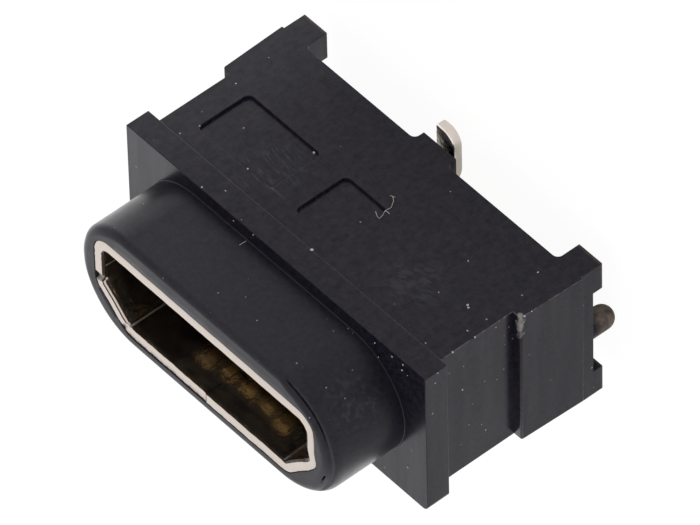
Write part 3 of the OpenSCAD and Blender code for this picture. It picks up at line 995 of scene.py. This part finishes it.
def add_fibre(points):
    """Thin round thread through the points."""
    points = [Vector(p) for p in points]
    rings = []
    for i, p in enumerate(points):
        ahead = (points[min(i + 1, len(points) - 1)] - points[max(i - 1, 0)]).normalized()
        side = ahead.cross(Vector((0, 1, 0))).normalized()
        up = side.cross(ahead)
        rings.append([p + (side * math.cos(a) + up * math.sin(a)) * fibre_r
                      for a in (2 * math.pi * k / fibre_sides for k in range(fibre_sides))])
    rows = loft(dust_mesh, rings, looped=False)[0]
    for row in (rows[0], rows[-1]):
        dust_mesh.faces.new(row)


for x, y, z, size in flecks:
    add_fleck((x, y, z), [size * random.uniform(*fleck_widths) for axis in range(3)])
for points in fibres:
    add_fibre(points)
bmesh.ops.recalc_face_normals(dust_mesh, faces=dust_mesh.faces)


def pale_dust():
    """House dust and lint: pale, warm grey and quite matt."""
    material, tree, coords = new_material("pale_dust")
    mottle = add_node(tree, "TexNoise", {"Vector": coords, "Scale": pattern_scale(0.05), "Detail": 2})
    tone = add_node(tree, "Mix", {
        0: mottle.outputs["Fac"], 6: srgb("#8b8781"), 7: srgb("#cbc7c0"),
    }, data_type="RGBA")
    shader = add_node(tree, "BsdfPrincipled", {
        "Base Color": tone.outputs[2], "Roughness": 0.9, "IOR": 1.45,
    })
    add_node(tree, "OutputMaterial", {"Surface": shader.outputs["BSDF"]})
    return material


dust = add_piece("dust_and_lint", dust_mesh, pale_dust())
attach(dust, "root")


# Stage: a sheet of matt white paper under the pegs. The camera sees it as a white ground with a faint
# shadow, and glossy faces mirror it as such.
floor_half = 2.0
seen_glow = 0.9
mirror_glow = 0.3
bright_slope = 0.676
floor_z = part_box("housing")[0].z
floor_mesh = bpy.data.meshes.new("floor")
floor_mesh.from_pydata(
    [(x * floor_half, y * floor_half, floor_z) for x, y in ((-1, -1), (1, -1), (1, 1), (-1, 1))],
    [], [(0, 1, 2, 3)],
)
floor = bpy.data.objects.new("floor", floor_mesh)
bpy.context.scene.collection.objects.link(floor)
floor_paper, tree, coords = new_material("white_paper")
rays = add_node(tree, "LightPath", {})
place = add_node(tree, "SeparateXYZ", {"Vector": coords})
# The paper is brighter to the left, which shows in the left end of the part's top
leftward = add_node(tree, "Math", {
    0: place.outputs["Y"], 1: bright_slope, 2: place.outputs["X"],
}, operation="MULTIPLY_ADD")
sheen = add_node(tree, "MapRange", {
    "Value": leftward.outputs["Value"], "From Min": -1.2 * MM, "From Max": -3.6 * MM,
    "To Min": 1, "To Max": 4,
})
level = add_node(tree, "Mix", {
    0: rays.outputs["Is Glossy Ray"], 2: 1.05, 3: sheen.outputs["Result"],
}, data_type="FLOAT")
mirrored = add_node(tree, "Math", {
    0: rays.outputs["Is Glossy Ray"], 1: mirror_glow,
}, operation="MULTIPLY")
part_seen = add_node(tree, "Math", {
    0: rays.outputs["Is Camera Ray"], 1: seen_glow, 2: mirrored.outputs["Value"],
}, operation="MULTIPLY_ADD")
paper = add_node(tree, "BsdfDiffuse", {"Color": srgb("#f1f0ee")})
glow = add_node(tree, "Emission", {"Color": srgb("#ffffff"), "Strength": level.outputs[0]})
both = add_node(tree, "MixShader", {
    0: part_seen.outputs["Value"], 1: paper.outputs["BSDF"], 2: glow.outputs["Emission"],
})
add_node(tree, "OutputMaterial", {"Surface": both.outputs["Shader"]})
floor_mesh.materials.append(floor_paper)


# Light: an evenly white room, and one softbox low on the left, which the flange, the lip and the
# left end of the nose mirror.
world = bpy.data.worlds.new("white_room")
bpy.context.scene.world = world
world.use_nodes = True
tree = world.node_tree
tree.nodes.clear()
aim = add_node(tree, "SeparateXYZ", {"Vector": add_node(tree, "TexCoord", {}).outputs["Generated"]})
level = add_node(tree, "MapRange", {
    "Value": aim.outputs["Y"], "From Min": -0.7, "From Max": 0, "To Min": 1.05, "To Max": 1,
})
room = add_node(tree, "Background", {"Color": (1, 0.98, 0.995, 1), "Strength": level.outputs["Result"]})
add_node(tree, "OutputWorld", {"Surface": room.outputs["Background"]})

lamp_from = Vector((-0.507, -0.75, 0.424))
lamp_over = Vector((-4.5, 0.5, 5.2)) * MM
lamp_distance = 0.03
lamp_side = 0.011
lamp_radiance = 0.36
lamp_data = bpy.data.lights.new("left_softbox", "AREA")
lamp_data.size = lamp_side
lamp_data.energy = lamp_radiance * math.pi * lamp_side ** 2
lamp = bpy.data.objects.new("left_softbox", lamp_data)
lamp.location = lamp_over + lamp_from * lamp_distance
lamp.rotation_euler = lamp_from.to_track_quat("Z", "Y").to_euler()
bpy.context.scene.collection.objects.link(lamp)


# Camera: a long lens high on the right, so that edges stay almost parallel and the mouth looks to the
# lower left. Its axes, the point that it looks at and the width that it takes in are set here.
view_right = Vector((0.6566, -0.0174, -0.7539))
view_up = Vector((-0.5581, 0.6611, -0.5013))
view_back = Vector((0.5072, 0.7500, 0.4244))
view_centre = Vector((0.3716, 0.7935, 3.3938)) * MM
view_width = 15.62 * MM
view_distance = 0.28
camera_data = bpy.data.cameras.new("camera")
camera_data.sensor_width = 36
camera_data.lens = camera_data.sensor_width * view_distance / view_width
camera_data.clip_start = 0.01
camera = bpy.data.objects.new("camera", camera_data)
turn = Matrix((view_right, view_up, view_back)).transposed().to_4x4()
camera.matrix_world = Matrix.Translation(view_centre + view_back * view_distance) @ turn
bpy.context.scene.collection.objects.link(camera)
bpy.context.scene.camera = camera
bpy.context.scene.view_settings.view_transform = "Standard"
